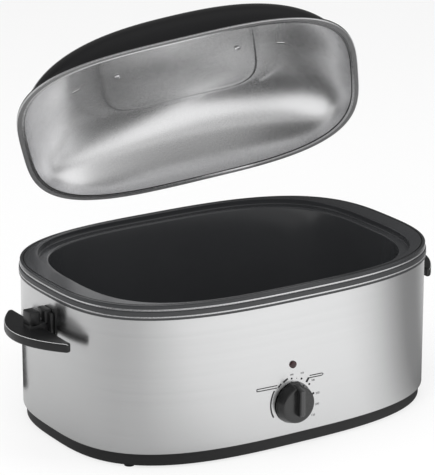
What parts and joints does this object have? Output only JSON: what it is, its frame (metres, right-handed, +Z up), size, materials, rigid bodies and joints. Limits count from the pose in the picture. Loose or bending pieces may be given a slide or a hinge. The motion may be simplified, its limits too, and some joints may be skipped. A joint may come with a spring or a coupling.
{
  "type": "electric roaster oven",
  "caption": "Countertop electric roaster oven with an oval brushed steel body, a lift-out enamel pan, bow side handles, a front heat knob and a domed lift-off lid",
  "frame": {"origin": "centre of the bottom plate's underside", "axes": "+X along the long axis to the right as seen from the front, the knob faces -Y, +Z up"},
  "size_m": [0.64, 0.5309, 0.5239],
  "materials": {
    "shell_steel": "brushed along the length, bright",
    "frame_grey": "satin dark grey paint",
    "base_black": "fine moulded texture",
    "handle_black": "satin moulded black",
    "knob_black": "semi-gloss moulded black",
    "pan_enamel": "satin dark grey enamel with a fine speckle",
    "lid_black": "gloss black outside, satin grey inside",
    "zinc_steel": "plain zinc coated sheet",
    "screw_steel": "bright plated",
    "foot_rubber": "matt",
    "heater_mica": "matt wrapped band",
    "lens_red": "polished dark red",
    "block_ceramic": "unglazed pale ceramic"
  },
  "bodies": {
    "body": {"base_ring": "base_black", "bottom_plate": "zinc_steel", "plate_screw_1": "zinc_steel", "plate_screw_2": "zinc_steel", "plate_screw_3": "zinc_steel", "plate_screw_4": "zinc_steel", "foot_back_right": "foot_rubber", "foot_back_left": "foot_rubber", "foot_front_left": "foot_rubber", "foot_front_right": "foot_rubber", "outer_shell": "shell_steel", "rim_frame": "frame_grey", "heat_well": "zinc_steel", "heater_band_lower": "heater_mica", "heater_band_upper": "heater_mica", "thermostat": "zinc_steel", "thermostat_nut": "zinc_steel", "indicator_lens": "lens_red", "lamp_holder": "base_black", "terminal_block": "block_ceramic", "cord_gland": "base_black", "gland_lock_ring": "base_black", "thermal_cutout": "block_ceramic", "handle_right": "handle_black", "handle_left": "handle_black", "handle_plate_right": "zinc_steel", "handle_plate_left": "zinc_steel", "handle_screw_left_1": "zinc_steel", "handle_screw_left_2": "zinc_steel", "handle_screw_right_1": "zinc_steel", "handle_screw_right_2": "zinc_steel"},
    "control": {"knob": "knob_black", "knob_shaft": "screw_steel"},
    "pan": {"insert_pan": "pan_enamel"},
    "lid_pivot": {"lid_screw_right": "screw_steel"},
    "lid": {"lid_shell": "lid_black", "lid_handle": "handle_black", "lid_screw_left": "screw_steel"}
  },
  "joints": [
    {"name": "knob_turn", "type": "hinge", "parent": "body", "child": "control", "pos_m": [-0.015, -0.187, 0.06], "axis": [0, -1, 0], "range_deg": [-128, 126]},
    {"name": "pan_lift", "type": "slide", "parent": "body", "child": "pan", "axis": [0, 0, 1], "range_m": [0, 0.2]},
    {"name": "lid_swing", "type": "hinge", "parent": "pan", "child": "lid_pivot", "pos_m": [0.072, 0.24545, 0.1683], "axis": [-0.9627, 0.2706, 0], "range_deg": [-50.1, 0]},
    {"name": "lid_turn", "type": "hinge", "parent": "lid_pivot", "child": "lid", "pos_m": [0.1181, 0.11597, 0.37775], "axis": [0.2076, 0.7385, 0.6414], "range_deg": [0, 31.5]}
  ],
  "couplings": [
    {"joint": "lid_turn", "follows": "lid_swing", "ratio": -0.62874}
  ]
}
